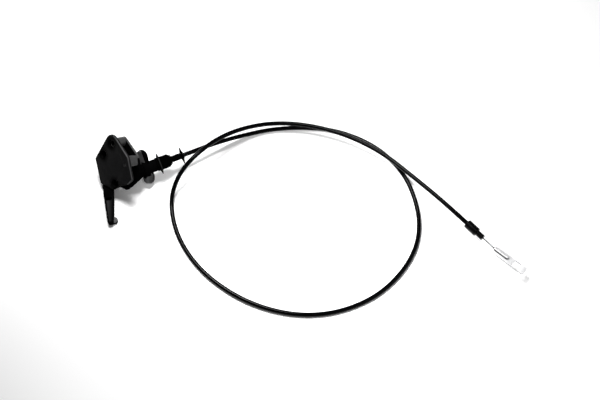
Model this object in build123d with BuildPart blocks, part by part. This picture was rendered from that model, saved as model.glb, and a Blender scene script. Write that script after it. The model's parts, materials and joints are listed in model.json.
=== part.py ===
import os
from math import cos, dist, pi, radians, sin, tan

from build123d import *

os.makedirs("parts", exist_ok=True)

# Fits between pieces (mm)
press_clearance = 0.02
running_clearance = 0.05
slide_clearance = 0.15
loose_clearance = 0.3

# The handle's plates lie in their own frame: x across, y up the plate, z out of the front face.
# The handle lies tilted on the table, on the tip of its lever and one ear of its wing lock.
handle_origin = (-26.435, 14.547, 39.730)
handle_across = (0.784, -0.382, 0.490)
handle_normal = (-0.618, -0.554, 0.558)
handle_plane = Plane(origin=handle_origin, x_dir=handle_across, z_dir=handle_normal)

# Plates, as depths behind the front face
cover_thickness = 3.0
plate_gap = 14.0
rear_thickness = 3.0
cover_back = cover_thickness
rear_front = cover_back + plate_gap
rear_back = rear_front + rear_thickness
cover_bevel = 1.0

# Corners of the front cover and the radius of each. The lever's grip passes the lower left one.
grip_corner = (-27.6, -26.8)
cover_corners = [
    ((0.2, 36.6), 11.0),
    ((25.0, 6.5), 6.0),
    ((28.7, -18.5), 2.0),
    ((19.2, -25.1), 3.0),
    ((7.0, -27.2), 6.0),
    ((-6.0, -32.9), 5.0),
    (grip_corner, 2.5),
    ((-32.5, 2.6), 3.0),
]

# Screw pillars and their metal bushes
screw_places = {"bush_top": (-0.8, 21.0), "bush_left": (-16.6, 8.0), "bush_bottom": (-1.4, -25.0)}
pillar_radius = 5.4
bush_wall = 1.2
bush_bore_radius = 2.75
bush_recess = 0.6
cover_hole_radius = 4.2
cover_hole_bevel = 1.2
bush_outer_radius = bush_bore_radius + bush_wall

# Snap tower and its two tongues, which pass through slots in the cover
tower_centre = (16.6, 0.4)
tower_width = 9.4
tower_height = 11.2
tower_rounding = 1.6
tongue_width = 1.1
tongue_height = 3.4
tongue_pitch = 2.7
tongue_offset = (2.0, -3.0)
tongue_recess = 0.5

# Round corners of the rear plate that aren't pillars: place and radius
rear_corners = [((19.0, 4.0), 2.2), ((18.5, -14.0), 4.0), ((-3.0, -31.5), 4.2), ((-14.0, -19.0), 4.0)]

# Nozzle: its axis leaves the rear plate here, and stations are counted along it from there
nozzle_root = (4.9, -16.8)
nozzle_heading = 23.8
funnel_inner_station = -20.0
funnel_station = 11.5
funnel_slope = 0.42
funnel_step = 0.8
neck_radius = 7.2
neck_end = 30.2
spigot_radius = 5.4
spigot_end = 41.4
neck_bore_radius = 4.1
cap_seat = 14.6
cap_base = 2.0
cap_length = 10.0

# Wing lock: a ring with two ears, pitched like a propeller's blades. The ears differ in size, so
# that the nozzle fits its keyhole one way round only.
wing_centre_station = 17.8
wing_thickness = 5.6
wing_ring_radius = 9.6
wing_root_radius = 5.4
wing_upper_tip_radius = 6.4
wing_upper_reach = 23.2
wing_lower_tip_radius = 7.2
wing_lower_reach = 18.8
wing_angle = 55.3
wing_pitch = 50.0
wing_dish_depth = 1.5
wing_rim = 1.5
wing_rounding = 0.6

# Rubber collar with its lip, and the narrow sleeve with its lip
collar_radius = 7.75
collar_end = 48.6
collar_taper = 4.0
collar_tip_radius = 5.0
lip_station = 34.3
lip_radius = 12.5
lip_root = 3.2
lip_edge = 0.4
sleeve_radius = 3.75
sleeve_start = 42.0
sleeve_end = 63.6
sleeve_lip_setback = 2.0
sleeve_lip_radius = 10.0
sleeve_lip_root = 3.4
sleeve_lip_station = sleeve_end - sleeve_lip_setback

# Lever: it turns about an axis square to the plates
pivot_place = (-13.6, -2.9)
pivot_radius = 2.5
pivot_head_radius = 4.4
pivot_head_height = 1.4
pivot_head_recess = 1.5
pivot_blind = 1.6
washer_thickness = 0.8
lever_end_play = 0.4
lever_swing = 40.0
hub_radius = 5.4
hook_arm = 12.0
hook_radius = 5.2
wire_tilt = -9.9
wire_depth = 9.0
wire_slit = 2.8
wire_slit_reach = 9.0
web_place = (-19.5, -24.5)
web_radius = 7.0
web_thickness = 9.0
sweep_margin = 0.6

# Lever's grip: a channel that slants forward and to the right, with a finger lip at its tip
grip_root = (-19.6, -28.0, -5.0)
grip_tip = (3.2, -68.03, 15.4)
grip_facing = (0.54, 0.60, 0.59)
grip_back = 8.0
grip_thickness = 7.6
grip_root_width = 12.8
grip_tip_width = 6.6
grip_wall = 1.7
grip_solid = 18.5
groove_depth = 4.6
grip_lip_radius = 3.8
grip_lip_thickness = 3.2
grip_lip_offset = 3.9
grip_lip_setback = 4.6
grip_rounding = 0.8

# Inner wire, its nipple in the lever's hook and its guide
wire_radius = 0.75
nipple_radius = 2.5
nipple_length = 8.0
nipple_play = 0.25
guide_radius = 2.0
guide_start = 6.0
guide_corner = 20.4
guide_bend_radius = 4.5
guide_axis_station = 6.6
guide_axis_radius = 10.0
guide_straight_margin = 0.4

# Conduit
conduit_radius = 2.6

# Far end: stations are counted along its axis from the ferrule's face
ferrule_face = (370.6, -50.7, 15.0)
ferrule_heading = -49.35
ferrule_radius = 5.0
ferrule_length = 15.1
ferrule_rounding = 0.8
conduit_in_ferrule = 8.0
nose_radius = 3.2
nose_length = 9.1
nose_in_ferrule = 4.0
nose_rounding = 0.6
wire_in_nose = 3.0
crimp_radius = 1.25
crimp_length = 4.0
crimp_station = 34.0
wire_bend_station = 39.6
wire_bend_radius = 8.0

# Terminal link: flat plate with a rolled barrel round the wire and a square eye
link_heading = -42.5
link_start = 39.0
link_length = 43.4
link_width = 10.0
link_thickness = 1.5
link_neck_width = 6.0
link_neck_length = 5.0
link_rounding = 2.0
barrel_radius = 2.1
barrel_start = 41.5
barrel_length = 18.5
barrel_sink = 1.0
eye_centre = 70.8
eye_size = 8.0
eye_rounding = 1.0


def depth_plane(depth):
    """Plane parallel to the front face, this far behind it."""
    return handle_plane.offset(-depth)


def cover_outline(depth, margin=0.0):
    """The front cover's outline, this far behind the front face and this much larger."""
    with BuildSketch(depth_plane(depth)) as outline:
        with BuildLine():
            FilletPolyline(
                *[corner for corner, _ in cover_corners],
                radius=[radius for _, radius in cover_corners],
                close=True,
            )
        make_face()
        if margin:
            offset(amount=margin)
    return outline.sketch


def world_direction(direction):
    """Direction in the table's frame of one given in the handle's."""
    return handle_plane.from_local_coords(Vector(*direction)) - handle_plane.origin


def revolved(plane, outline):
    """Solid of revolution about the plane's z axis, from (radius, station) points."""
    turning_plane = Plane(origin=plane.origin, x_dir=plane.x_dir, z_dir=-plane.y_dir)
    with BuildPart() as turned:
        with BuildSketch(turning_plane):
            with BuildLine():
                Polyline(*outline, close=True)
            make_face()
        revolve(axis=Axis(plane.origin, plane.z_dir), revolution_arc=360)
    return turned.part


def polar_point(centre, radius, angle):
    """Point at this radius and angle from a centre."""
    return (centre[0] + radius * cos(radians(angle)), centre[1] + radius * sin(radians(angle)))


# Nozzle frame: z along the nozzle, y up
nozzle_start = handle_plane.from_local_coords(Vector(*nozzle_root, -rear_back))
nozzle_direction = Vector(cos(radians(nozzle_heading)), sin(radians(nozzle_heading)), 0)
nozzle_side = Vector(-sin(radians(nozzle_heading)), cos(radians(nozzle_heading)), 0)
nozzle_plane = Plane(origin=nozzle_start, x_dir=nozzle_side, z_dir=nozzle_direction)


def on_nozzle(station, side=0.0, up=0.0):
    """Point at this station of the nozzle's axis."""
    return nozzle_plane.from_local_coords(Vector(side, up, station))


# The wire leaves the hook square to the hook's arm at half swing, so that it hardly moves sideways
hook_rest_angle = wire_tilt - 90 + lever_swing / 2
hook_place = polar_point(pivot_place, hook_arm, hook_rest_angle)
hook_rise = hook_arm * (1 - cos(radians(lever_swing / 2)))
wire_travel = 2 * hook_arm * sin(radians(lever_swing / 2))
print("wire travel", round(wire_travel, 3), "mm, per radian", round(wire_travel / radians(lever_swing), 4))


def on_wire(distance):
    """Point of the wire's line in the handle, this far from the hook."""
    x, y = polar_point(hook_place, distance, wire_tilt)
    return handle_plane.from_local_coords(Vector(x, y, -wire_depth))


# Front cover
with BuildPart() as front_cover:
    extrude(cover_outline(cover_back), amount=cover_thickness)
    front_edges = front_cover.faces().sort_by(Axis(handle_plane.origin, handle_plane.z_dir))[-1].edges()
    chamfer(front_edges, length=cover_bevel)
    with BuildSketch(handle_plane):
        with Locations(*screw_places.values()):
            Circle(cover_hole_radius)
    extrude(amount=-cover_thickness, mode=Mode.SUBTRACT)
    with BuildSketch(handle_plane):
        with Locations(*screw_places.values()):
            Circle(cover_hole_radius + cover_hole_bevel)
    extrude(amount=-cover_hole_bevel, taper=45, mode=Mode.SUBTRACT)
    with BuildSketch(handle_plane):
        with Locations((tower_centre[0] + tongue_offset[0], tower_centre[1] + tongue_offset[1])):
            with GridLocations(tongue_pitch, 1, 2, 1):
                Rectangle(tongue_width + 2 * slide_clearance, tongue_height + 2 * slide_clearance)
    extrude(amount=-cover_thickness, mode=Mode.SUBTRACT)
    with BuildSketch(depth_plane(cover_back)):
        with Locations(pivot_place):
            Circle(pivot_radius + running_clearance)
    extrude(amount=pivot_blind, mode=Mode.SUBTRACT)

# Guide path: straight from the hook, then round into the nozzle
guide_path_points = [
    on_wire(guide_start),
    on_wire(guide_corner),
    on_nozzle(guide_axis_station),
    on_nozzle(cap_seat - loose_clearance),
]
with BuildLine() as guide_path:
    FilletPolyline(*guide_path_points, radius=[guide_bend_radius, guide_axis_radius])

# Housing: rear plate, pillars, tower, funnel and neck in one moulding
funnel_end_radius = neck_radius + funnel_step
funnel_plate_radius = funnel_end_radius + funnel_slope * (funnel_station - funnel_inner_station)
funnel = revolved(
    nozzle_plane,
    [
        (0, funnel_inner_station),
        (funnel_plate_radius, funnel_inner_station),
        (funnel_end_radius, funnel_station),
        (neck_radius, funnel_station),
        (neck_radius, neck_end),
        (spigot_radius, neck_end),
        (spigot_radius, spigot_end),
        (0, spigot_end),
    ],
)
with BuildPart() as housing:
    add(funnel)
    split(bisect_by=depth_plane(rear_front + rear_thickness / 2), keep=Keep.BOTTOM)
    with BuildSketch(depth_plane(rear_back)):
        with Locations(screw_places["bush_bottom"]):
            Circle(pillar_radius + loose_clearance)
    extrude(amount=-funnel_plate_radius, mode=Mode.SUBTRACT)
    with BuildSketch(depth_plane(rear_back)) as rear_outline:
        with Locations(*screw_places.values()):
            Circle(pillar_radius)
        for corner, radius in rear_corners:
            with Locations(corner):
                Circle(radius)
        make_hull()
    extrude(amount=rear_thickness)
    with BuildSketch(depth_plane(rear_back)):
        with Locations(*screw_places.values()):
            Circle(pillar_radius)
    extrude(amount=rear_back - cover_back)
    with BuildSketch(depth_plane(rear_back)):
        with Locations(tower_centre):
            RectangleRounded(tower_width, tower_height, tower_rounding)
    extrude(amount=rear_back - cover_back)
    with BuildSketch(depth_plane(cover_back)):
        with Locations((tower_centre[0] + tongue_offset[0], tower_centre[1] + tongue_offset[1])):
            with GridLocations(tongue_pitch, 1, 2, 1):
                Rectangle(tongue_width, tongue_height)
    extrude(amount=cover_thickness - tongue_recess)
    with BuildSketch(depth_plane(rear_back)):
        with Locations(*screw_places.values()):
            Circle(bush_outer_radius + press_clearance)
        with Locations(pivot_place):
            Circle(pivot_radius + press_clearance)
    extrude(amount=rear_back - cover_back, mode=Mode.SUBTRACT)
    with BuildSketch(depth_plane(rear_back)):
        with Locations(pivot_place):
            Circle(pivot_head_radius + loose_clearance)
    extrude(amount=pivot_head_recess, mode=Mode.SUBTRACT)
    with BuildSketch(nozzle_plane.offset(cap_seat)):
        Circle(neck_bore_radius)
    extrude(amount=spigot_end - cap_seat, mode=Mode.SUBTRACT)
    with BuildSketch(Plane(origin=guide_path.line @ 0, z_dir=guide_path.line % 0)):
        Circle(guide_radius + running_clearance)
    sweep(path=guide_path.line, mode=Mode.SUBTRACT)
    with BuildSketch(nozzle_plane.offset(cap_seat - 2 * loose_clearance)):
        Circle(guide_radius + running_clearance)
    extrude(amount=2 * loose_clearance, mode=Mode.SUBTRACT)

# Metal bushes in the pillars
bushes = {}
for bush_name, place in screw_places.items():
    with BuildPart() as bush:
        with BuildSketch(depth_plane(rear_back)):
            with Locations(place):
                Circle(bush_outer_radius)
                Circle(bush_bore_radius, mode=Mode.SUBTRACT)
        extrude(amount=rear_back - cover_back - bush_recess)
    bushes[bush_name] = bush.part

# Hinge pin, its head in the rear plate's recess and its end blind in the cover
pivot_head_seat = rear_back - pivot_head_recess
with BuildPart() as pivot_pin:
    with BuildSketch(depth_plane(pivot_head_seat + pivot_head_height)):
        with Locations(pivot_place):
            Circle(pivot_head_radius)
    extrude(amount=pivot_head_height)
    with BuildSketch(depth_plane(pivot_head_seat)):
        with Locations(pivot_place):
            Circle(pivot_radius)
    extrude(amount=pivot_head_seat - cover_back + pivot_blind - loose_clearance)

# Washer between the lever's hub and the rear plate
with BuildPart() as pivot_washer:
    with BuildSketch(depth_plane(rear_front)):
        with Locations(pivot_place):
            Circle(hub_radius)
            Circle(pivot_radius + running_clearance, mode=Mode.SUBTRACT)
    extrude(amount=washer_thickness)

# Lever: hub, hook and web between the plates, then the grip
lever_front = cover_back + lever_end_play
lever_rear = rear_front - washer_thickness - lever_end_play
grip_direction = (Vector(*grip_tip) - Vector(*grip_root)).normalized()
grip_length = (Vector(*grip_tip) - Vector(*grip_root)).length
grip_normal = Vector(*grip_facing) - grip_direction * Vector(*grip_facing).dot(grip_direction)
grip_across = grip_direction.cross(grip_normal)
grip_plane = Plane(
    origin=handle_plane.from_local_coords(Vector(*grip_root)),
    x_dir=world_direction(grip_across),
    z_dir=world_direction(grip_normal),
)


def grip_half_width(distance):
    """Half the grip's width, this far from its root."""
    share = distance / grip_length
    return (grip_root_width + (grip_tip_width - grip_root_width) * share) / 2


with BuildPart() as lever:
    with BuildSketch(grip_plane.offset(-grip_thickness / 2)) as grip_outline:
        with BuildLine():
            Polyline(
                (-grip_half_width(-grip_back), -grip_back),
                (grip_half_width(-grip_back), -grip_back),
                (grip_half_width(grip_length), grip_length),
                (-grip_half_width(grip_length), grip_length),
                close=True,
            )
        make_face()
        fillet(grip_outline.vertices().group_by(Axis.Y)[-1], radius=grip_tip_width / 2 - loose_clearance)
    extrude(amount=grip_thickness)
    with BuildSketch(grip_plane.offset(-grip_thickness / 2)):
        with Locations((-grip_lip_offset, grip_length - grip_lip_setback)):
            Circle(grip_lip_radius)
    extrude(amount=grip_lip_thickness)
    with BuildSketch(grip_plane.offset(grip_thickness / 2)) as groove:
        with BuildLine():
            Polyline(
                (-grip_half_width(grip_solid) + grip_wall, grip_solid),
                (grip_half_width(grip_solid) - grip_wall, grip_solid),
                (grip_half_width(grip_length) - grip_wall, grip_length - grip_wall),
                (-grip_half_width(grip_length) + grip_wall, grip_length - grip_wall),
                close=True,
            )
        make_face()
        fillet(
            groove.vertices().group_by(Axis.Y)[-1],
            radius=grip_tip_width / 2 - grip_wall - loose_clearance,
        )
        fillet(groove.vertices().group_by(Axis.Y)[0], radius=grip_rounding)
    extrude(amount=-groove_depth, mode=Mode.SUBTRACT)
    with BuildSketch(depth_plane(lever_front)):
        with Locations(pivot_place):
            Circle(dist(pivot_place, grip_corner) + sweep_margin)
    extrude(amount=grip_length, mode=Mode.SUBTRACT)
    extrude(cover_outline(lever_front, sweep_margin), amount=grip_length, mode=Mode.SUBTRACT)
    with BuildSketch(depth_plane(lever_front)):
        with Locations(hook_place):
            Circle(hook_radius)
        with Locations(web_place):
            Circle(web_radius)
        make_hull()
    extrude(amount=-web_thickness)
    with BuildSketch(depth_plane(lever_front)):
        with Locations(pivot_place):
            Circle(hub_radius)
        with Locations(hook_place):
            Circle(hook_radius)
        make_hull()
    extrude(amount=lever_front - lever_rear)
    with BuildSketch(depth_plane(lever_front)):
        with Locations(pivot_place):
            Circle(pivot_radius + running_clearance)
    extrude(amount=lever_front - lever_rear, mode=Mode.SUBTRACT)
    with BuildSketch(depth_plane(lever_rear)):
        with Locations(polar_point(pivot_place, hook_arm - hook_rise / 2, hook_rest_angle)):
            SlotCenterToCenter(hook_rise, 2 * (nipple_radius + nipple_play), rotation=hook_rest_angle)
    extrude(amount=lever_rear - wire_depth + nipple_length / 2 + nipple_play, mode=Mode.SUBTRACT)
    with BuildSketch(depth_plane(wire_depth + wire_slit / 2)):
        with Locations(hook_place):
            Circle(wire_slit / 2)
        for angle in (wire_tilt, wire_tilt + lever_swing):
            with Locations(polar_point(hook_place, wire_slit_reach, angle)):
                Circle(wire_slit / 2)
        make_hull()
    extrude(amount=wire_slit, mode=Mode.SUBTRACT)

# Nipple in the hook, with the wire's hole across it
wire_plane = Plane(origin=on_wire(0), x_dir=handle_plane.z_dir, z_dir=on_wire(1) - on_wire(0))
with BuildPart() as handle_nipple:
    with BuildSketch(depth_plane(wire_depth + nipple_length / 2)):
        with Locations(hook_place):
            Circle(nipple_radius)
    extrude(amount=nipple_length)
    with BuildSketch(wire_plane.offset(-nipple_radius / 2)):
        Circle(wire_radius + press_clearance)
    extrude(amount=2 * nipple_radius, mode=Mode.SUBTRACT)

# Wire from the nipple into the guide
guide_straight, guide_turned = (guide_path_points[i + 1] - guide_path_points[i] for i in (0, 1))
guide_turn = guide_straight.get_angle(guide_turned)
guide_straight_end = guide_corner - guide_bend_radius * tan(radians(guide_turn) / 2)
with BuildPart() as handle_wire:
    with BuildSketch(wire_plane.offset(-nipple_radius / 2)):
        Circle(wire_radius)
    extrude(amount=nipple_radius / 2 + guide_straight_end - guide_straight_margin)
wire_left = guide_straight_end - guide_straight_margin - wire_travel - guide_start
print("wire left in the guide at full swing", round(wire_left, 2))

# Curved guide tube
with BuildPart() as wire_guide:
    with BuildSketch(Plane(origin=guide_path.line @ 0, z_dir=guide_path.line % 0)):
        Circle(guide_radius)
        Circle(wire_radius + slide_clearance, mode=Mode.SUBTRACT)
    sweep(path=guide_path.line)

# Cap on the conduit's end, seated on the shoulder in the neck
conduit_start = cap_seat + cap_base
with BuildPart() as conduit_end_cap:
    with BuildSketch(nozzle_plane.offset(cap_seat)):
        Circle(neck_bore_radius - running_clearance)
    extrude(amount=cap_length)
    with BuildSketch(nozzle_plane.offset(conduit_start)):
        Circle(conduit_radius + running_clearance)
    extrude(amount=cap_length, mode=Mode.SUBTRACT)
    with BuildSketch(nozzle_plane.offset(cap_seat)):
        Circle(wire_radius + slide_clearance)
    extrude(amount=cap_base, mode=Mode.SUBTRACT)

# Wing lock
wing_across = nozzle_side * cos(radians(wing_angle)) + Vector(0, 0, 1) * sin(radians(wing_angle))
wing_facing = nozzle_direction.cross(wing_across)
wing_ears = [(1, wing_upper_tip_radius, wing_upper_reach), (-1, wing_lower_tip_radius, wing_lower_reach)]
with BuildPart() as wing_lock:
    with BuildSketch(nozzle_plane.offset(wing_centre_station)):
        Circle(wing_ring_radius)
    extrude(amount=wing_thickness / 2, both=True)
    for side, tip_radius, reach in wing_ears:
        ear_pitch = side * radians(wing_pitch)
        ear_normal = nozzle_direction * cos(ear_pitch) - wing_facing * sin(ear_pitch)
        ear_plane = Plane(origin=on_nozzle(wing_centre_station), x_dir=wing_across * side, z_dir=ear_normal)
        ear_ends = [(wing_root_radius, wing_ring_radius - wing_rim), (tip_radius, reach - tip_radius)]
        with BuildSketch(ear_plane):
            for radius, distance in ear_ends:
                with Locations((distance, 0)):
                    Circle(radius)
            make_hull()
        extrude(amount=wing_thickness / 2, both=True)
        rims = wing_lock.edges().filter_by(GeomType.CIRCLE).filter_by(
            lambda edge: abs(edge.radius - tip_radius) < 1e-3
        )
        fillet(rims, radius=wing_rounding)
        with BuildSketch(ear_plane.offset(wing_thickness / 2)):
            for radius, distance in ear_ends:
                with Locations((distance, 0)):
                    Circle(radius - wing_rim)
            make_hull()
        extrude(amount=-wing_dish_depth, mode=Mode.SUBTRACT)
    with BuildSketch(nozzle_plane.offset(wing_centre_station)):
        Circle(neck_radius + press_clearance)
    extrude(amount=wing_upper_reach, both=True, mode=Mode.SUBTRACT)

# Rubber collar on the spigot, with its thin lip
grommet_part = revolved(
    nozzle_plane,
    [
        (spigot_radius + running_clearance, neck_end),
        (collar_radius, neck_end),
        (collar_radius, lip_station - lip_root / 2),
        (lip_radius, lip_station - lip_edge / 2),
        (lip_radius, lip_station + lip_edge / 2),
        (collar_radius, lip_station + lip_root / 2),
        (collar_radius, collar_end - collar_taper),
        (collar_tip_radius, collar_end),
        (sleeve_radius + running_clearance, collar_end),
        (sleeve_radius + running_clearance, spigot_end + running_clearance),
        (spigot_radius + running_clearance, spigot_end + running_clearance),
    ],
)

# Narrow rubber sleeve round the conduit, with its thin lip
sleeve_bore_radius = conduit_radius + loose_clearance
sleeve_part = revolved(
    nozzle_plane,
    [
        (sleeve_bore_radius, sleeve_start),
        (sleeve_radius, sleeve_start),
        (sleeve_radius, sleeve_lip_station - sleeve_lip_root / 2),
        (sleeve_lip_radius, sleeve_lip_station - lip_edge / 2),
        (sleeve_lip_radius, sleeve_lip_station + lip_edge / 2),
        (sleeve_radius, sleeve_lip_station + sleeve_lip_root / 2),
        (sleeve_radius, sleeve_end),
        (sleeve_bore_radius, sleeve_end),
    ],
)

# Far end frame: z along the ferrule, y up
ferrule_direction = Vector(cos(radians(ferrule_heading)), sin(radians(ferrule_heading)), 0)
ferrule_side = Vector(-sin(radians(ferrule_heading)), cos(radians(ferrule_heading)), 0)
ferrule_plane = Plane(origin=ferrule_face, x_dir=ferrule_side, z_dir=ferrule_direction)

# The bare wire bends a little, so the link has an axis of its own, with the same stations
link_direction = Vector(cos(radians(link_heading)), sin(radians(link_heading)), 0)
link_side = Vector(-sin(radians(link_heading)), cos(radians(link_heading)), 0)
wire_bend = ferrule_plane.from_local_coords(Vector(0, 0, wire_bend_station))
link_zero = wire_bend - link_direction * wire_bend_station
link_plane = Plane(origin=link_zero, x_dir=link_direction, z_dir=(0, 0, 1))
barrel_plane = Plane(origin=link_zero, x_dir=link_side, z_dir=link_direction)

# Conduit: the strand leaves the nozzle, runs away from the handle under the other strand, round the
# large loop, back past the nozzle over itself and along to the ferrule
conduit_points = [
    on_nozzle(conduit_start),
    on_nozzle(conduit_start + 26.0, side=0.03),
    on_nozzle(conduit_start + 52.0),
    (83.5, 57.1, 14.0),
    (116.0, 74.4, 5.2),
    (152.0, 85.5, 2.6),
    (189.0, 87.7, 2.6),
    (229.7, 83.1, 2.6),
    (273.3, 61.5, 2.6),
    (305.1, 25.6, 2.6),
    (319.4, -22.6, 2.6),
    (317.8, -65.1, 2.6),
    (299.5, -102.1, 2.6),
    (267.9, -133.8, 2.6),
    (228.0, -152.0, 2.6),
    (187.2, -156.7, 2.6),
    (145.9, -148.5, 2.6),
    (106.6, -129.5, 2.6),
    (70.1, -98.7, 2.6),
    (44.7, -58.2, 2.6),
    (35.0, -15.9, 4.0),
    (43.8, 8.8, 18.9),
    (62.0, 29.4, 29.4),
    (92.5, 60.1, 25.9),
    (133.2, 84.1, 14.6),
    (179.6, 86.9, 13.2),
    (231.1, 73.6, 13.2),
    (278.0, 46.8, 13.3),
    (315.0, 10.5, 13.6),
    (349.1, -25.7, 15.0),
    ferrule_plane.from_local_coords(Vector(0, 0, conduit_in_ferrule)),
]
conduit_points = [Vector(*point) for point in conduit_points]
arc_share = 0.45
corner_radii = []
for before, corner, after in zip(conduit_points, conduit_points[1:], conduit_points[2:]):
    run_in = corner - before
    run_out = after - corner
    turn = run_in.get_angle(run_out)
    corner_radii.append(arc_share * min(run_in.length, run_out.length) / tan(radians(turn) / 2))
print("conduit radii", [round(radius) for radius in corner_radii])
with BuildPart() as conduit:
    with BuildLine() as conduit_line:
        FilletPolyline(*conduit_points, radius=corner_radii)
    with BuildSketch(Plane(origin=conduit_line.line @ 0, z_dir=conduit_line.line % 0)):
        Circle(conduit_radius)
    sweep(path=conduit_line.line)
conduit_length = sum(edge.length for edge in conduit_line.edges())
print("conduit length", round(conduit_length, 1), "volume", round(conduit.part.volume),
      "section x length", round(pi * conduit_radius**2 * conduit_length))

# Ferrule: sleeve over the conduit's end and the narrower nose in it
wire_bore_radius = wire_radius + slide_clearance
nose_start = ferrule_length - nose_in_ferrule
nose_end = ferrule_length + nose_length
with BuildPart() as ferrule_sleeve:
    with BuildSketch(ferrule_plane):
        Circle(ferrule_radius)
    extrude(amount=ferrule_length)
    fillet(ferrule_sleeve.edges().filter_by(GeomType.CIRCLE), radius=ferrule_rounding)
    with BuildSketch(ferrule_plane):
        Circle(conduit_radius + running_clearance)
    extrude(amount=conduit_in_ferrule, mode=Mode.SUBTRACT)
    with BuildSketch(ferrule_plane.offset(conduit_in_ferrule)):
        Circle(wire_bore_radius)
    extrude(amount=ferrule_length, mode=Mode.SUBTRACT)
    with BuildSketch(ferrule_plane.offset(nose_start)):
        Circle(nose_radius + press_clearance)
    extrude(amount=ferrule_length, mode=Mode.SUBTRACT)

with BuildPart() as ferrule_tube:
    with BuildSketch(ferrule_plane.offset(nose_start)):
        Circle(nose_radius)
    extrude(amount=nose_end - nose_start)
    nose_edges = ferrule_tube.edges().filter_by(GeomType.CIRCLE)
    fillet(nose_edges.sort_by(Axis(ferrule_face, ferrule_direction))[-1], radius=nose_rounding)
    with BuildSketch(ferrule_plane.offset(nose_start)):
        Circle(wire_bore_radius)
    extrude(amount=nose_end - nose_start, mode=Mode.SUBTRACT)

# Bare wire from the nose to the link's barrel, with its crimp
barrel_end = barrel_start + barrel_length
wire_end = barrel_end - 2 * barrel_radius
wire_ends = [
    ferrule_plane.from_local_coords(Vector(0, 0, nose_end - wire_in_nose)),
    link_zero + link_direction * wire_end,
]
with BuildPart() as latch_wire:
    with BuildLine() as latch_wire_line:
        FilletPolyline(wire_ends[0], wire_bend, wire_ends[1], radius=wire_bend_radius)
    with BuildSketch(ferrule_plane.offset(nose_end - wire_in_nose)):
        Circle(wire_radius)
    sweep(path=latch_wire_line.line)
print("bare wire in sight", round(link_start - nose_end, 1), "left at full pull",
      round(crimp_station - nose_end - wire_travel, 1))

with BuildPart() as wire_crimp:
    with BuildSketch(ferrule_plane.offset(crimp_station)):
        Circle(crimp_radius)
        Circle(wire_radius + press_clearance, mode=Mode.SUBTRACT)
    extrude(amount=crimp_length)

with BuildPart() as terminal_link:
    with BuildSketch(link_plane.offset(-barrel_sink)) as link_outline:
        with BuildLine():
            Polyline(
                (link_start, link_neck_width / 2),
                (link_start + link_neck_length, link_width / 2),
                (link_start + link_length, link_width / 2),
                (link_start + link_length, -link_width / 2),
                (link_start + link_neck_length, -link_width / 2),
                (link_start, -link_neck_width / 2),
                close=True,
            )
        make_face()
        fillet(link_outline.vertices(), radius=link_rounding)
        with Locations((eye_centre, 0)):
            RectangleRounded(eye_size, eye_size, eye_rounding, mode=Mode.SUBTRACT)
    extrude(amount=-link_thickness)
    with BuildSketch(barrel_plane.offset(barrel_start)):
        Circle(barrel_radius)
    extrude(amount=barrel_length - barrel_radius)
    with Locations(barrel_plane.offset(barrel_end - barrel_radius)):
        Sphere(barrel_radius)
    split(bisect_by=link_plane.offset(-barrel_sink - link_thickness), keep=Keep.TOP)
    with BuildSketch(barrel_plane.offset(link_start)):
        Circle(wire_radius + press_clearance)
    extrude(amount=wire_end - link_start, mode=Mode.SUBTRACT)

sub_parts = {
    "front_cover": front_cover.part,
    "housing": housing.part,
    **bushes,
    "pivot_pin": pivot_pin.part,
    "pivot_washer": pivot_washer.part,
    "lever": lever.part,
    "handle_nipple": handle_nipple.part,
    "handle_wire": handle_wire.part,
    "wire_guide": wire_guide.part,
    "conduit_end_cap": conduit_end_cap.part,
    "wing_lock": wing_lock.part,
    "sealing_grommet": grommet_part,
    "end_sleeve": sleeve_part,
    "conduit": conduit.part,
    "ferrule_sleeve": ferrule_sleeve.part,
    "ferrule_tube": ferrule_tube.part,
    "latch_wire": latch_wire.part,
    "wire_crimp": wire_crimp.part,
    "terminal_link": terminal_link.part,
}
for node_name, part in sub_parts.items():
    part.label = node_name
    export_step(part, f"parts/{node_name}.step")
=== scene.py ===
import json
from math import cos, pi, radians, sin

import bpy
from mathutils import Matrix, Vector


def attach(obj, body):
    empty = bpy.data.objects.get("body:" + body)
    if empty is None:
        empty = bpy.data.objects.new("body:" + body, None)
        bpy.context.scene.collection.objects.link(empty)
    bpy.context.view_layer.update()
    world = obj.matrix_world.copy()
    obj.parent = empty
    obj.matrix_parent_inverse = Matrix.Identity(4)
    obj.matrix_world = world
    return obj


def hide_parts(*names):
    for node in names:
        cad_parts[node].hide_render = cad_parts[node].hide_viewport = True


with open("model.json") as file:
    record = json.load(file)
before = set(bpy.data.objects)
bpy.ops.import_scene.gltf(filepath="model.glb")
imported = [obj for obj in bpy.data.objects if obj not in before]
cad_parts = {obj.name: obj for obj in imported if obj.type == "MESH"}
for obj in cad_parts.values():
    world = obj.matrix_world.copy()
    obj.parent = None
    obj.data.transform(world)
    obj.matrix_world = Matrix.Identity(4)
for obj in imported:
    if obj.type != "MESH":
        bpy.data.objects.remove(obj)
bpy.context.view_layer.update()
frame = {"nodes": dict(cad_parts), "record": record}
nodes = frame["nodes"]
print("frame loaded:", len(nodes), "nodes")


# Selection helpers for the bpy.ops modelling below
def deselectAll():
    bpy.ops.object.select_all(action="DESELECT")


def makeActive(piece):
    deselectAll()
    piece.select_set(True)
    bpy.context.view_layer.objects.active = piece


# Camera, as high and as far away as the photographer stood
cameraSet = {
    "place": (0.1840, -0.5303, 0.8979),
    "tilt": 30.0,        # degrees from straight down
    "lens": 54.0,
    "sensor": 36.0,
    "clipStart": 0.01,
}


def addCamera(spec):
    bpy.ops.object.camera_add(location=spec["place"], rotation=(radians(spec["tilt"]), 0, 0))
    camera = bpy.context.object
    camera.name = "photoCamera"
    camera.data.sensor_width = spec["sensor"]
    camera.data.lens = spec["lens"]
    camera.data.clip_start = spec["clipStart"]
    bpy.context.scene.camera = camera


addCamera(cameraSet)
print("camera placed")

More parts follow.
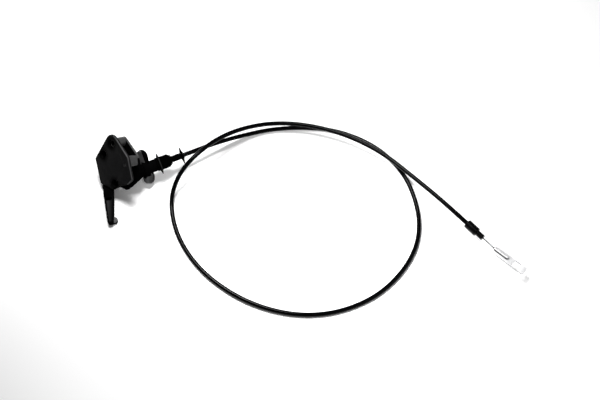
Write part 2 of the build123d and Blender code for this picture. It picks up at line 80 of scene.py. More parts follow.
# The cable: the same points as the CAD route, in metres
conduitSet = {
    "radius": 0.0026,
    "length": 1.265,
    "order": 3,
    "stepsPerPoint": 14,
    "sides": 6,        # extra sides in each quarter of the round section
    "route": [
        (0.00593, 0.01802, 0.01971),
        (0.02971, 0.02854, 0.01971),
        (0.05351, 0.03901, 0.01971),
        (0.08350, 0.0571, 0.0140),
        (0.11600, 0.0744, 0.0052),
        (0.15200, 0.0855, 0.0026),
        (0.18900, 0.0877, 0.0026),
        (0.22970, 0.0831, 0.0026),
        (0.27330, 0.0615, 0.0026),
        (0.30510, 0.0256, 0.0026),
        (0.31940, -0.0226, 0.0026),
        (0.31780, -0.0651, 0.0026),
        (0.29950, -0.1021, 0.0026),
        (0.26790, -0.1338, 0.0026),
        (0.22800, -0.1520, 0.0026),
        (0.18720, -0.1567, 0.0026),
        (0.14590, -0.1485, 0.0026),
        (0.10660, -0.1295, 0.0026),
        (0.07010, -0.0987, 0.0026),
        (0.04470, -0.0582, 0.0026),
        (0.03500, -0.0159, 0.0040),
        (0.04380, 0.0088, 0.0189),
        (0.06200, 0.0294, 0.0294),
        (0.09250, 0.0601, 0.0259),
        (0.13320, 0.0841, 0.0146),
        (0.17960, 0.0869, 0.0132),
        (0.23110, 0.0736, 0.0132),
        (0.27800, 0.0468, 0.0133),
        (0.31500, 0.0105, 0.0136),
        (0.34910, -0.0257, 0.0150),
        (0.37581, -0.05677, 0.0150),
    ],
}


def addConduit(spec):
    data = bpy.data.curves.new("conduitCord", "CURVE")
    data.dimensions = "3D"
    spline = data.splines.new("NURBS")
    spline.points.add(len(spec["route"]) - 1)
    for point, place in zip(spline.points, spec["route"]):
        point.co = (*place, 1.0)
        point.radius = spec["radius"]        # in metres, because the bevel below is one metre
    spline.order_u = spec["order"]
    spline.use_endpoint_u = True
    spline.resolution_u = spec["stepsPerPoint"]
    data.bevel_depth = 1.0
    data.bevel_resolution = spec["sides"]
    data.use_fill_caps = True
    piece = bpy.data.objects.new("conduitCord", data)
    bpy.context.scene.collection.objects.link(piece)
    return piece


conduitCord = addConduit(conduitSet)
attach(conduitCord, "root")
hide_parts("conduit")
print("conduit laid")


# Moulded pieces: the CAD shape with its sharp edges rounded as a mould leaves them
softEdgeSet = {
    "front_cover": {"piece": "frontCover", "body": "root", "width": 0.00025, "segments": 2},
    "housing": {"piece": "plateHousing", "body": "root", "width": 0.0004, "segments": 3},
    "lever": {"piece": "pullLever", "body": "lever", "width": 0.0006, "segments": 3},
    "wing_lock": {"piece": "wingLock", "body": "root", "width": 0.0004, "segments": 3},
}
mergeWithin = 0.00001        # metres
flatWithin = 0.5        # degrees between faces that are one flat
sharpFrom = 35        # degrees between faces that meet in an edge


def addSoftEdgedCopy(nodeName, spec):
    piece = nodes[nodeName].copy()
    piece.data = nodes[nodeName].data.copy()
    piece.name = spec["piece"]
    bpy.context.scene.collection.objects.link(piece)
    makeActive(piece)
    bpy.ops.object.mode_set(mode="EDIT")
    bpy.ops.mesh.select_all(action="SELECT")
    bpy.ops.mesh.remove_doubles(threshold=mergeWithin)
    bpy.ops.mesh.dissolve_limited(angle_limit=radians(flatWithin))
    bpy.ops.object.mode_set(mode="OBJECT")
    rounding = piece.modifiers.new("mouldRounding", "BEVEL")
    rounding.width = spec["width"]
    rounding.segments = spec["segments"]
    rounding.limit_method = "ANGLE"
    rounding.angle_limit = radians(sharpFrom)
    rounding.use_clamp_overlap = True
    bpy.ops.object.modifier_apply(modifier="mouldRounding")
    bpy.ops.object.shade_smooth_by_angle(angle=radians(sharpFrom))
    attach(piece, spec["body"])
    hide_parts(nodeName)
    return piece


softPieces = {name: addSoftEdgedCopy(name, spec) for name, spec in softEdgeSet.items()}
print("moulded pieces rounded:", {name: len(piece.data.polygons) for name, piece in softPieces.items()})

# Far end: its pieces are modelled along X from the ferrule's face and turned into place once finished.
# Beyond the bend the wire and the link on it turn to the link's own heading
farEnd = {"face": (0.3706, -0.0507, 0.0150), "heading": -49.35, "bend": 0.0396, "linkHeading": -42.5}


def bendTurn():
    bend = Matrix.Translation((farEnd["bend"], 0, 0))
    angle = radians(farEnd["linkHeading"] - farEnd["heading"])
    return bend @ Matrix.Rotation(angle, 4, "Z") @ bend.inverted()


def toFarEnd(piece, beyondBend):
    turn = Matrix.Translation(farEnd["face"]) @ Matrix.Rotation(radians(farEnd["heading"]), 4, "Z")
    if beyondBend:
        turn = turn @ bendTurn()
    piece.matrix_world = turn @ piece.matrix_world
    bpy.context.view_layer.update()
    makeActive(piece)
    bpy.ops.object.transform_apply(location=True, rotation=True, scale=True)


def applyModifier(piece, name):
    makeActive(piece)
    bpy.ops.object.modifier_apply(modifier=name)


def addBox(name, centre, size):
    deselectAll()
    bpy.ops.mesh.primitive_cube_add(size=1, location=centre)
    box = bpy.context.object
    box.name = name
    box.scale = size
    bpy.ops.object.transform_apply(location=False, rotation=False, scale=True)
    return box


def addTurned(name, start, end, radius, vertices=64):
    deselectAll()
    bpy.ops.mesh.primitive_cylinder_add(
        vertices=vertices, radius=radius, depth=end - start,
        location=((start + end) / 2, 0, 0), rotation=(0, pi / 2, 0),
    )
    turned = bpy.context.object
    turned.name = name
    bpy.ops.object.transform_apply(location=False, rotation=True, scale=False)
    return turned


# Edges of the piece in edit mode for which the test holds, given both ends in the piece's own frame
def selectEdges(piece, test):
    bpy.ops.object.mode_set(mode="EDIT")
    bpy.ops.mesh.select_mode(type="EDGE")
    bpy.ops.mesh.select_all(action="DESELECT")
    bpy.ops.object.mode_set(mode="OBJECT")
    place = piece.matrix_world
    vertices = piece.data.vertices
    for edge in piece.data.edges:
        first, second = (place @ vertices[index].co for index in edge.vertices)
        edge.select = test(first, second)
    bpy.ops.object.mode_set(mode="EDIT")


def cutWith(piece, cutter):
    cut = piece.modifiers.new("cut", "BOOLEAN")
    cut.operation = "DIFFERENCE"
    cut.solver = "EXACT"
    cut.object = cutter
    applyModifier(piece, "cut")
    bpy.data.objects.remove(cutter, do_unlink=True)


def roundEdges(piece, width, segments=2):
    rounding = piece.modifiers.new("rounding", "BEVEL")
    rounding.width = width
    rounding.segments = segments
    rounding.limit_method = "ANGLE"
    rounding.angle_limit = radians(sharpFrom)
    applyModifier(piece, "rounding")
    bpy.ops.object.shade_smooth_by_angle(angle=radians(sharpFrom))


sameSpot = 1e-6        # metres


def uprightEdge(first, second):
    return abs(first.x - second.x) < sameSpot and abs(first.y - second.y) < sameSpot


# Painted shade on the zinc, which catches less light down the link's sides and ends, and a painted shadow
# line in the crease under the barrel
linkShadeTones = {"zinc": 0, "edge": 1, "shadedFarSide": 2, "creaseShadow": 3}
tipFacing = 0.7        # how far along X a face's normal points where it closes the tip


# Painted shade: faces down one side or at the tip get a darker zinc tone by the way they face
def paintSideShades(piece, sides):
    for tone in linkShadeTones:
        piece.data.materials.append(None)
    for face in piece.data.polygons:
        for tone, (side, ceiling) in sides.items():
            across = face.normal.y / side
            if (across > 1 or face.normal.x > tipFacing) and face.normal.z < ceiling:
                face.material_index = linkShadeTones[tone]


# Flat plate of the link, with its square eye
linkSet = {
    "start": 0.0390, "end": 0.0824, "halfWidth": 0.0050, "neckHalfWidth": 0.0030, "neckEnd": 0.0440,
    "top": -0.0010, "thickness": 0.0015, "corner": 0.0020, "cornerSegments": 5,
    "eye": 0.0708, "eyeSize": 0.0080, "eyeCorner": 0.0010, "eyeSegments": 4, "eyeCut": 0.01,
    "edge": 0.00022,
}
startWithin = 1e-5        # metres from the start within which a vertex belongs to the first edge loop


def addLinkPlate(spec):
    middle = (spec["start"] + spec["end"]) / 2
    depth = spec["top"] - spec["thickness"] / 2
    plate = addBox("linkPlate", (middle, 0, depth),
                   (spec["end"] - spec["start"], 2 * spec["halfWidth"], spec["thickness"]))
    bpy.ops.object.mode_set(mode="EDIT")
    bpy.ops.mesh.select_all(action="SELECT")
    bpy.ops.mesh.bisect(plane_co=(spec["neckEnd"], 0, depth), plane_no=(1, 0, 0))
    bpy.ops.object.mode_set(mode="OBJECT")
    for vertex in plate.data.vertices:
        if vertex.co.x + middle < spec["start"] + startWithin:
            vertex.co.y *= spec["neckHalfWidth"] / spec["halfWidth"]
    selectEdges(plate, uprightEdge)
    bpy.ops.mesh.bevel(offset=spec["corner"], segments=spec["cornerSegments"], affect="EDGES")
    bpy.ops.object.mode_set(mode="OBJECT")
    eye = addBox("eyeCutter", (spec["eye"], 0, depth), (spec["eyeSize"], spec["eyeSize"], spec["eyeCut"]))
    selectEdges(eye, uprightEdge)
    bpy.ops.mesh.bevel(offset=spec["eyeCorner"], segments=spec["eyeSegments"], affect="EDGES")
    bpy.ops.object.mode_set(mode="OBJECT")
    cutWith(plate, eye)
    roundEdges(plate, spec["edge"])
    # Painted shade down the plate's sides and at its end
    paintSideShades(plate, {"edge": (-0.5, 0.8), "shadedFarSide": (0.5, 0.8)})
    toFarEnd(plate, True)
    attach(plate, "latch_wire")
    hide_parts("terminal_link")
    return plate


# Barrel rolled from the link's strip round the wire: a seam along its top, two pinches that grip the
# wire, a flared mouth and a closed round end
barrelSet = {
    "start": 0.0415, "length": 0.0185, "radius": 0.0021, "bore": 0.00082,
    "boreSides": 32, "seam": 0.00035, "seamDepth": 0.0007, "mouth": 1.08, "overcut": 0.001,
    "pinches": (0.0460, 0.0520), "pinchRadius": 0.0024, "pinchDepth": 0.00055, "pinchHeight": 0.0009,
    "endSteps": 6, "poleSize": 0.02, "edge": 0.00008,
}


def addLinkBarrel(spec):
    end = spec["start"] + spec["length"]
    boreEnd = end - 2 * spec["radius"]
    barrel = addTurned("linkBarrel", spec["start"], end - spec["radius"], spec["radius"])
    middle = barrel.location.x
    bpy.ops.object.mode_set(mode="EDIT")
    bpy.ops.mesh.select_mode(type="FACE")
    bpy.ops.mesh.select_all(action="DESELECT")
    bpy.ops.object.mode_set(mode="OBJECT")
    for face in barrel.data.polygons:
        face.select = face.normal.x > 0.9
    bpy.ops.object.mode_set(mode="EDIT")
    for step in range(1, spec["endSteps"] + 1):
        before = pi / 2 * (step - 1) / spec["endSteps"]
        after = pi / 2 * step / spec["endSteps"]
        advance = spec["radius"] * (sin(after) - sin(before))
        ratio = max(cos(after), spec["poleSize"]) / max(cos(before), spec["poleSize"])
        bpy.ops.mesh.extrude_region_move(TRANSFORM_OT_translate={"value": (advance, 0, 0)})
        bpy.ops.transform.resize(value=(1, ratio, ratio))
    bpy.ops.object.mode_set(mode="OBJECT")
    for vertex in barrel.data.vertices:
        if vertex.co.x + middle < spec["start"] + startWithin:
            vertex.co.y *= spec["mouth"]
            vertex.co.z *= spec["mouth"]
    cutWith(barrel, addTurned(
        "boreCutter", spec["start"] - spec["overcut"], boreEnd, spec["bore"], spec["boreSides"]))
    cutWith(barrel, addBox(
        "seamCutter", ((spec["start"] + boreEnd) / 2, 0, spec["radius"]),
        (boreEnd - spec["start"] + 2 * spec["overcut"], spec["seam"], 2 * spec["seamDepth"])))
    reach = spec["radius"] + spec["pinchRadius"] - spec["pinchDepth"]
    for place in spec["pinches"]:
        for side in (-1, 1):
            deselectAll()
            bpy.ops.mesh.primitive_uv_sphere_add(
                segments=32, ring_count=16, radius=spec["pinchRadius"],
                location=(place, side * reach, spec["pinchHeight"]),
            )
            cutWith(barrel, bpy.context.object)
    roundEdges(barrel, spec["edge"], segments=1)
    # Painted shadow along the barrel's lower side, and painted shade on its far side
    paintSideShades(barrel, {"creaseShadow": (-0.5, 0.7), "shadedFarSide": (0.5, 0.85)})
    toFarEnd(barrel, True)
    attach(barrel, "latch_wire")
    return barrel


linkPlate = addLinkPlate(linkSet)
linkBarrel = addLinkBarrel(barrelSet)
print("terminal link made")

# Bare wire: six strands laid round a seventh
strandSet = {
    "start": 0.0212, "end": 0.0558, "strand": 0.00025, "lay": 0.0085, "count": 6, "steps": 90, "sides": 2,
    "smoothTo": 40,        # degrees
}


def addStrand(spec, offset, phase):
    data = bpy.data.curves.new("strand", "CURVE")
    data.dimensions = "3D"
    spline = data.splines.new("POLY")
    spline.points.add(spec["steps"])
    for index, point in enumerate(spline.points):
        x = spec["start"] + (spec["end"] - spec["start"]) * index / spec["steps"]
        angle = 2 * pi * (x - spec["start"]) / spec["lay"] + phase
        place = Vector((x, offset * cos(angle), offset * sin(angle)))
        if x > farEnd["bend"]:
            place = bendTurn() @ place
        point.co = (*place, 1.0)
    data.bevel_depth = spec["strand"]
    data.bevel_resolution = spec["sides"]
    data.use_fill_caps = True
    strand = bpy.data.objects.new("strand", data)
    bpy.context.scene.collection.objects.link(strand)
    return strand


def addLatchWire(spec):
    strands = [addStrand(spec, 0.0, 0.0)]
    for index in range(spec["count"]):
        strands.append(addStrand(spec, 2 * spec["strand"], 2 * pi * index / spec["count"]))
    deselectAll()
    for strand in strands:
        strand.select_set(True)
    bpy.context.view_layer.objects.active = strands[0]
    bpy.ops.object.convert(target="MESH")
    bpy.ops.object.join()
    wire = bpy.context.object
    wire.name = "strandedWire"
    bpy.ops.object.shade_smooth_by_angle(angle=radians(spec["smoothTo"]))
    toFarEnd(wire, False)
    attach(wire, "latch_wire")
    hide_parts("latch_wire")
    return wire


strandedWire = addLatchWire(strandSet)
print("bare wire laid up")


# Materials: each starts from a plain Principled shader
def newMaterial(name, colour, roughness, metallic=0.0):
    material = bpy.data.materials.new(name)
    material.use_nodes = True
    shader = material.node_tree.nodes["Principled BSDF"]
    shader.inputs["Base Color"].default_value = (*colour, 1.0)
    shader.inputs["Roughness"].default_value = roughness
    shader.inputs["Metallic"].default_value = metallic
    return material


def addNoise(tree, scale, detail=4.0, roughness=0.55):
    coordinates = tree.nodes.new("ShaderNodeTexCoord")
    noise = tree.nodes.new("ShaderNodeTexNoise")
    noise.inputs["Scale"].default_value = scale
    noise.inputs["Detail"].default_value = detail
    noise.inputs["Roughness"].default_value = roughness
    tree.links.new(coordinates.outputs["Object"], noise.inputs["Vector"])
    return noise


def addRange(tree, source, low, high, fromLow=0.3, fromHigh=0.7):
    mapRange = tree.nodes.new("ShaderNodeMapRange")
    mapRange.inputs["From Min"].default_value = fromLow
    mapRange.inputs["From Max"].default_value = fromHigh
    mapRange.inputs["To Min"].default_value = low
    mapRange.inputs["To Max"].default_value = high
    tree.links.new(source, mapRange.inputs["Value"])
    return mapRange


def addBump(tree, source, strength, distance):
    bump = tree.nodes.new("ShaderNodeBump")
    bump.inputs["Strength"].default_value = strength
    bump.inputs["Distance"].default_value = distance
    tree.links.new(source, bump.inputs["Height"])
    tree.links.new(bump.outputs["Normal"], tree.nodes["Principled BSDF"].inputs["Normal"])
    return bump


def addColourVariation(tree, source, dark, light):
    ramp = tree.nodes.new("ShaderNodeValToRGB")
    ramp.color_ramp.elements[0].position = 0.3
    ramp.color_ramp.elements[1].position = 0.7
    ramp.color_ramp.elements[0].color = (*dark, 1.0)
    ramp.color_ramp.elements[1].color = (*light, 1.0)
    tree.links.new(source, ramp.inputs["Fac"])
    tree.links.new(ramp.outputs["Color"], tree.nodes["Principled BSDF"].inputs["Base Color"])
    return ramp


# Moulded plastic: slow colour drift, a fine spark-eroded grain and uneven gloss
plasticGrain = {
    "driftScale": 60.0, "grainScale": 2600.0, "grainDepth": 0.0001, "glossier": 0.05, "duller": 0.06,
}


def mouldedPlastic(name, dark, light, roughness, grain, specular):
    material = newMaterial(name, light, roughness)
    tree = material.node_tree
    tree.nodes["Principled BSDF"].inputs["Specular IOR Level"].default_value = specular
    drift = addNoise(tree, plasticGrain["driftScale"])
    addColourVariation(tree, drift.outputs["Fac"], dark, light)
    fine = addNoise(tree, plasticGrain["grainScale"], detail=2.0)
    addBump(tree, fine.outputs["Fac"], grain, plasticGrain["grainDepth"])
    gloss = addRange(
        tree, drift.outputs["Fac"], roughness - plasticGrain["glossier"], roughness + plasticGrain["duller"])
    tree.links.new(gloss.outputs["Result"], tree.nodes["Principled BSDF"].inputs["Roughness"])
    return material


# Plated steel: a cloudy crystal pattern and uneven gloss
crystalGrain = {"strength": 0.15, "depth": 0.00005, "glossier": 0.06, "duller": 0.08}


def platedSteel(name, dark, light, roughness, scale=900.0, metallic=1.0):
    material = newMaterial(name, light, roughness, metallic)
    tree = material.node_tree
    clouds = addNoise(tree, scale)
    addColourVariation(tree, clouds.outputs["Fac"], dark, light)
    addBump(tree, clouds.outputs["Fac"], crystalGrain["strength"], crystalGrain["depth"])
    gloss = addRange(
        tree, clouds.outputs["Fac"], roughness - crystalGrain["glossier"], roughness + crystalGrain["duller"])
    tree.links.new(gloss.outputs["Result"], tree.nodes["Principled BSDF"].inputs["Roughness"])
    return material


finishes = {
    "cover_plastic": mouldedPlastic(
        "coverPlastic", (0.0056, 0.0056, 0.0058), (0.0094, 0.0094, 0.0097), 0.5, 0.3, 0.015),
    "housing_plastic": mouldedPlastic(
        "housingPlastic", (0.030, 0.030, 0.0305), (0.054, 0.054, 0.0545), 0.38, 0.2, 0.15),
    "lever_plastic": mouldedPlastic(
        "leverPlastic", (0.0018, 0.0018, 0.0020), (0.0036, 0.0036, 0.0038), 0.4, 0.2, 0.0),
    "seal_rubber": mouldedPlastic(
        "sealRubber", (0.0006, 0.0006, 0.0006), (0.0012, 0.0012, 0.0012), 0.55, 0.4, 0.0),
    "conduit_sleeving": mouldedPlastic(
        "conduitSleeving", (0.0006, 0.0006, 0.0007), (0.0010, 0.0010, 0.0011), 0.12, 0.05, 0.06),
    "ferrule_plastic": mouldedPlastic(
        "ferrulePlastic", (0.0006, 0.0006, 0.0007), (0.0014, 0.0014, 0.0015), 0.22, 0.1, 0.08),
    "blackened_steel": platedSteel("blackenedSteel", (0.004, 0.004, 0.0042), (0.008, 0.008, 0.0085), 0.4),
    "zinc_steel": platedSteel("zincSteel", (0.42, 0.43, 0.44), (0.58, 0.59, 0.6), 0.35),
    "brass_cap": platedSteel("turnedBrass", (0.5, 0.38, 0.18), (0.65, 0.5, 0.25), 0.35),
    "wire_strand": platedSteel(
        "strandedWire", (0.06, 0.06, 0.062), (0.14, 0.14, 0.145), 0.35, scale=2500.0, metallic=0.5),
    "bright_zinc": platedSteel("brightZinc", (0.84, 0.84, 0.85), (0.93, 0.93, 0.94), 0.32, metallic=0.35),
}

# Tones that only a part of a moulded piece has: painted shade where it lies dark, and painted highlights and
# lit faces where it catches the light
tones = {
    "dullShade": mouldedPlastic(
        "shadedDullPlastic", (0.0008, 0.0008, 0.0009), (0.0016, 0.0016, 0.0017), 0.6, 0.2, 0.0),
    "edge": mouldedPlastic(
        "edgeHighlight", (0.035, 0.035, 0.036), (0.06, 0.06, 0.061), 0.4, 0.3, 0.1),
    "channelHighlight": mouldedPlastic(
        "channelHighlightPlastic", (0.002, 0.002, 0.0022), (0.007, 0.007, 0.0072), 0.32, 0.2, 0.02),
    "lobeLit": mouldedPlastic(
        "lobeHighlightPlastic", (0.05, 0.05, 0.051), (0.08, 0.08, 0.081), 0.4, 0.2, 0.05),
    "earLit": mouldedPlastic(
        "litEarFaces", (0.034, 0.034, 0.0345), (0.060, 0.060, 0.061), 0.4, 0.2, 0.15),
}


# Mixes a tint into the material's colour by the share that a socket gives
def tintColour(tree, share, tint):
    base = tree.nodes["Principled BSDF"].inputs["Base Color"]
    blend = tree.nodes.new("ShaderNodeMix")
    blend.data_type = "RGBA"
    blend.inputs["B"].default_value = (*tint, 1.0)
    tree.links.new(share.outputs["Result"], blend.inputs["Factor"])
    tree.links.new(base.links[0].from_socket, blend.inputs["A"])
    tree.links.new(blend.outputs["Result"], base)


# Painted shade: colour that turns into the shade tint within reach of each place, softly
shadeSpotCore = 0.45        # share of the reach that is all spot


def addShadeSpots(material, places, reach, shadeTint):
    tree = material.node_tree
    coordinates = tree.nodes.new("ShaderNodeTexCoord")
    for place in places:
        distance = tree.nodes.new("ShaderNodeVectorMath")
        distance.operation = "DISTANCE"
        distance.inputs[1].default_value = place
        tree.links.new(coordinates.outputs["Object"], distance.inputs[0])
        share = addRange(tree, distance.outputs["Value"], 1.0, 0.0, shadeSpotCore * reach, reach)
        share.interpolation_type = "SMOOTHSTEP"
        tintColour(tree, share, shadeTint)


# Painted light: colour that pales with the distance from an axis, a lit rim where the thin lip thins towards
# its edge
def addLitRim(material, spec):
    tree = material.node_tree
    coordinates = tree.nodes.new("ShaderNodeTexCoord")
    mapping = tree.nodes.new("ShaderNodeMapping")
    mapping.vector_type = "TEXTURE"
    mapping.inputs["Location"].default_value = spec["root"]
    mapping.inputs["Rotation"].default_value = (0, 0, radians(spec["heading"]))
    tree.links.new(coordinates.outputs["Object"], mapping.inputs["Vector"])
    flatten = tree.nodes.new("ShaderNodeVectorMath")
    flatten.operation = "MULTIPLY"
    flatten.inputs[1].default_value = (0, 1, 1)
    tree.links.new(mapping.outputs["Vector"], flatten.inputs[0])
    length = tree.nodes.new("ShaderNodeVectorMath")
    length.operation = "LENGTH"
    tree.links.new(flatten.outputs["Vector"], length.inputs[0])
    share = addRange(tree, length.outputs["Value"], 0.0, 1.0, spec["rimStart"], spec["rimEnd"])
    tintColour(tree, share, spec["rimLightColour"])


# Painted shade: darker copies of the zinc for the link's sides, and a dark painted shadow line under the
# barrel
zincShadeTones = {
    "edge": platedSteel("zincShadedSide", (0.10, 0.10, 0.105), (0.16, 0.16, 0.165), 0.4, metallic=0.3),
    "shadedFarSide": platedSteel("zincShadedFarSide", (0.22, 0.22, 0.225), (0.32, 0.32, 0.325), 0.4, metallic=0.3),
    "creaseShadow": platedSteel("zincCreaseShadow", (0.02, 0.02, 0.021), (0.04, 0.04, 0.041), 0.5, metallic=0.3),
}

slotOfNode = {entry["node"]: entry["material_slot"] for entry in frame["record"]["subparts"]}


def finishPiece(piece, slotName):
    piece.data.materials.clear()
    piece.data.materials.append(finishes[slotName])


for nodeName in nodes:
    finishPiece(nodes[nodeName], slotOfNode[nodeName])
for nodeName, piece in softPieces.items():
    finishPiece(piece, slotOfNode[nodeName])

# Where the moulded pieces lie: places in metres, directions as unit vectors
handleSet = {
    "origin": (-0.026435, 0.014547, 0.039730),
    "across": (0.78406, -0.38157, 0.48953),
    "up": (-0.05828, 0.73997, 0.67012),
    "facing": (-0.61794, -0.55394, 0.55794),
    "holes": ((-0.0008, 0.0210), (-0.0166, 0.0080), (-0.0014, -0.0250)),
    "holeReach": 0.0060, "holeShadeReach": 0.011, "holeShadeColour": (0.0006, 0.0006, 0.0006),
    "edgeFrom": -0.030, "edgeTilt": (0.3, 0.93), "edgeAcross": 0.25,
    "tower": (0.0166, 0.0004), "towerReach": 0.0072, "towerFoot": -0.0165, "upperFrom": 0.012,
}
nozzleSet = {
    "root": (-0.00926, 0.01132, 0.01971), "heading": 23.8,
    "collarRadius": 0.0102, "litStation": 0.0186,
    "rimStart": 0.0100, "rimEnd": 0.0125, "rimLightColour": (0.022, 0.022, 0.022),
}
gripSet = {
    "root": (-0.03708, 0.00408, 0.00858),
    "along": (0.15092, -0.98489, -0.08498), "facing": (0.02286, -0.08246, 0.99633),
    "solid": 0.0182, "floor": (-0.0018, 0.0006), "topFacing": 0.8, "lobeFrom": 0.0034,
}


# Each painting rule gets a face's middle and normal
def paint(piece, tone, rule):
    piece.data.materials.append(tones[tone])
    place = piece.matrix_world
    turn = place.to_3x3()
    for face in piece.data.polygons:
        if rule(place @ face.center, (turn @ face.normal).normalized()):
            face.material_index = len(piece.data.materials) - 1


# Cuts the piece's faces across where a tone ends
def splitFaces(piece, place, direction):
    makeActive(piece)
    bpy.ops.object.mode_set(mode="EDIT")
    bpy.ops.mesh.select_all(action="SELECT")
    bpy.ops.mesh.bisect(plane_co=place, plane_no=direction)
    bpy.ops.object.mode_set(mode="OBJECT")


def inHandle(point):
    offset = point - Vector(handleSet["origin"])
    return [offset.dot(Vector(handleSet[key])) for key in ("across", "up", "facing")]


nozzleAxis = Vector((cos(radians(nozzleSet["heading"])), sin(radians(nozzleSet["heading"])), 0))


def onAxis(station):
    return Vector(nozzleSet["root"]) + station * nozzleAxis


def onNozzle(point):
    offset = point - Vector(nozzleSet["root"])
    station = offset.dot(nozzleAxis)
    return station, (offset - station * nozzleAxis).length


# Housing faces that get painted shade: all but the lit tower and the upper part
def shadedHousing(point, normal):
    across, up, depth = inHandle(point)
    reach = max(abs(across - handleSet["tower"][0]), abs(up - handleSet["tower"][1]))
    onTower = reach < handleSet["towerReach"] and depth > handleSet["towerFoot"]
    return not onTower and up < handleSet["upperFrom"]


# Ear faces that get painted light: beyond the collar, short of the lit station or below the axis
def litEarFaces(point, normal):
    station, radius = onNozzle(point)
    if radius < nozzleSet["collarRadius"]:
        return False
    return station < nozzleSet["litStation"] or point.z < nozzleSet["root"][2]


def onGrip(point):
    offset = point - Vector(gripSet["root"])
    along, facing = Vector(gripSet["along"]), Vector(gripSet["facing"])
    return offset.dot(along), offset.dot(facing), offset.dot(along.cross(facing))


def onGripTop(point, normal):
    along, height, side = onGrip(point)
    low, high = gripSet["floor"]
    if along <= gripSet["solid"] or not low < height < high:
        return False
    return normal.dot(Vector(gripSet["facing"])) > gripSet["topFacing"]


# Faces of the channel floor that get a painted highlight
def gripChannelHighlight(point, normal):
    return onGripTop(point, normal) and onGrip(point)[2] > -gripSet["lobeFrom"]


# Faces of the finger lobe's top that get a painted highlight
def gripLobeLit(point, normal):
    return onGripTop(point, normal) and onGrip(point)[2] < -gripSet["lobeFrom"]


# Cover edge faces that get a painted highlight: tilted up and to the right, away from the holes
def edgeHighlight(point, normal):
    across, up, depth = inHandle(point)
    reach = handleSet["holeReach"]
    nearHole = any((across - x) ** 2 + (up - y) ** 2 < reach ** 2 for x, y in handleSet["holes"])
    low, high = handleSet["edgeTilt"]
    tilted = low < normal.dot(Vector(handleSet["facing"])) < high
    rightward = normal.dot(Vector(handleSet["across"])) > handleSet["edgeAcross"]
    return tilted and rightward and not nearHole and up > handleSet["edgeFrom"]


splitFaces(softPieces["wing_lock"], onAxis(nozzleSet["litStation"]), nozzleAxis)
solidEnd = Vector(gripSet["root"]) + gripSet["solid"] * Vector(gripSet["along"])
splitFaces(softPieces["lever"], solidEnd, gripSet["along"])
holePlaces = [
    Vector(handleSet["origin"]) + x * Vector(handleSet["across"]) + y * Vector(handleSet["up"])
    for x, y in handleSet["holes"]
]
# Painted shade round the cover's three screw holes, which sit in recesses
addShadeSpots(finishes["cover_plastic"], holePlaces, handleSet["holeShadeReach"], handleSet["holeShadeColour"])
# Painted light on the seal's thin lips, paler towards their edges
addLitRim(finishes["seal_rubber"], nozzleSet)
# Painted shade on the housing away from its lit tower and upper part
paint(softPieces["housing"], "dullShade", shadedHousing)
# Painted shade on the wing lock except its lit ears
paint(softPieces["wing_lock"], "dullShade", lambda point, normal: not litEarFaces(point, normal))
# Painted light on the wing lock's ears, lighter where they face the light
paint(softPieces["wing_lock"], "earLit", litEarFaces)
# Painted shade on the grip's solid end under the cover
paint(softPieces["lever"], "dullShade", lambda point, normal: onGrip(point)[0] <= gripSet["solid"])
# Painted highlight on the floor of the grip's channel, which is also glossier
paint(softPieces["lever"], "channelHighlight", gripChannelHighlight)
# Painted highlight on the top of the grip's finger lobe
paint(softPieces["lever"], "lobeLit", gripLobeLit)
# Painted highlight on the cover's bevelled edges that face up and to the right, away from its holes
paint(softPieces["front_cover"], "edge", edgeHighlight)
conduitCord.data.materials.append(finishes["conduit_sleeving"])
# The zinc with its painted shade tones
for piece in (linkPlate, linkBarrel):
    piece.data.materials[linkShadeTones["zinc"]] = finishes["bright_zinc"]
    for tone, material in zincShadeTones.items():
        piece.data.materials[linkShadeTones[tone]] = material
strandedWire.data.materials.append(finishes["wire_strand"])
print("finishes set")

# Table top and lights
tableSet = {
    "size": 6.0,
    "centre": (0.18, 0),
    "roughness": 0.9,
    "colour": (0.93, 0.93, 0.93),
    "cornerShadeColour": (0.54, 0.54, 0.54),
    "corner": (-0.26, -0.30),
    "cornerReach": 0.34,
    "whiteLift": 0.11,        # white that the camera, metal and glass see on top of the lit colour
}


# Painted shade: the table's white darkens towards one corner of the picture
def addCornerShade(tree, spec):
    corner, centre = spec["corner"], spec["centre"]
    coordinates = tree.nodes.new("ShaderNodeTexCoord")
    mapping = tree.nodes.new("ShaderNodeMapping")
    mapping.vector_type = "TEXTURE"
    mapping.inputs["Location"].default_value = (corner[0] - centre[0], corner[1] - centre[1], 0)
    mapping.inputs["Scale"].default_value = (spec["cornerReach"],) * 3
    gradient = tree.nodes.new("ShaderNodeTexGradient")
    gradient.gradient_type = "SPHERICAL"
    tree.links.new(coordinates.outputs["Object"], mapping.inputs["Vector"])
    tree.links.new(mapping.outputs["Vector"], gradient.inputs["Vector"])
    ramp = tree.nodes.new("ShaderNodeValToRGB")
    ramp.color_ramp.interpolation = "EASE"
    ramp.color_ramp.elements[0].color = (*spec["colour"], 1.0)
    ramp.color_ramp.elements[1].color = (*spec["cornerShadeColour"], 1.0)
    tree.links.new(gradient.outputs["Fac"], ramp.inputs["Fac"])
    return ramp


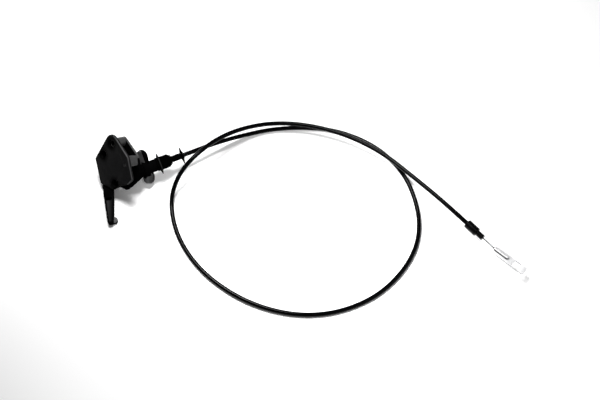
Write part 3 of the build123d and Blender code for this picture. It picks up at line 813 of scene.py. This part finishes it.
def addTable(spec):
    bpy.ops.mesh.primitive_plane_add(size=spec["size"], location=(*spec["centre"], 0))
    table = bpy.context.object
    table.name = "tableTop"
    material = newMaterial("tableWhite", spec["colour"], spec["roughness"])
    tree = material.node_tree
    shader = tree.nodes["Principled BSDF"]
    shader.inputs["Specular IOR Level"].default_value = 0.0
    shade = addCornerShade(tree, spec)
    tree.links.new(shade.outputs["Color"], shader.inputs["Base Color"])
    lightPath = tree.nodes.new("ShaderNodeLightPath")
    seen = lightPath.outputs["Is Camera Ray"]
    for ray in ("Is Glossy Ray", "Is Transmission Ray"):
        either = tree.nodes.new("ShaderNodeMath")
        either.operation = "MAXIMUM"
        tree.links.new(seen, either.inputs[0])
        tree.links.new(lightPath.outputs[ray], either.inputs[1])
        seen = either.outputs["Value"]
    strength = tree.nodes.new("ShaderNodeMath")
    strength.operation = "MULTIPLY"
    strength.inputs[1].default_value = spec["whiteLift"]
    tree.links.new(seen, strength.inputs[0])
    shader.inputs["Emission Color"].default_value = (1, 1, 1, 1)
    tree.links.new(strength.outputs["Value"], shader.inputs["Emission Strength"])
    table.data.materials.append(material)


# The key stands behind the handle. The fill and loop panels face away from it and lighten the shadows
# on the table, and the plastics don't mirror them
lightSet = {
    "key": {
        "place": (0.02, 0.25, 0.85), "target": (0.08, 0, 0),
        "size": 0.27, "power": 11.4, "mirrored": True},
    "right": {
        "place": (1.5, -0.1, 0.45), "target": (0.15, 0, 0),
        "size": 0.8, "power": 2.6, "mirrored": True},
    "fill": {
        "place": (0.21, -0.10, 0.16), "target": (0.42, -0.10, 0),
        "size": 0.12, "power": 0.80, "mirrored": False},
    "loop": {
        "place": (0.05, -0.06, 0.10), "target": (0.25, 0.06, 0),
        "size": 0.06, "power": 0.17, "mirrored": False},
}
worldStrength = 0.01


def addLight(name, spec):
    direction = Vector(spec["target"]) - Vector(spec["place"])
    turn = direction.to_track_quat("-Z", "Y").to_euler()
    bpy.ops.object.light_add(type="AREA", location=spec["place"], rotation=turn)
    light = bpy.context.object
    light.name = name + "Light"
    light.data.size = spec["size"]
    light.data.energy = spec["power"]
    light.visible_glossy = spec["mirrored"]
    light.visible_camera = False


def setWorld(strength):
    world = bpy.data.worlds.new("studio")
    bpy.context.scene.world = world
    world.use_nodes = True
    background = world.node_tree.nodes["Background"]
    background.inputs["Color"].default_value = (1, 1, 1, 1)
    background.inputs["Strength"].default_value = strength


addTable(tableSet)
for lightName, lightSpec in lightSet.items():
    addLight(lightName, lightSpec)
setWorld(worldStrength)
bpy.context.scene.view_settings.view_transform = "Standard"
print("table and lights set")
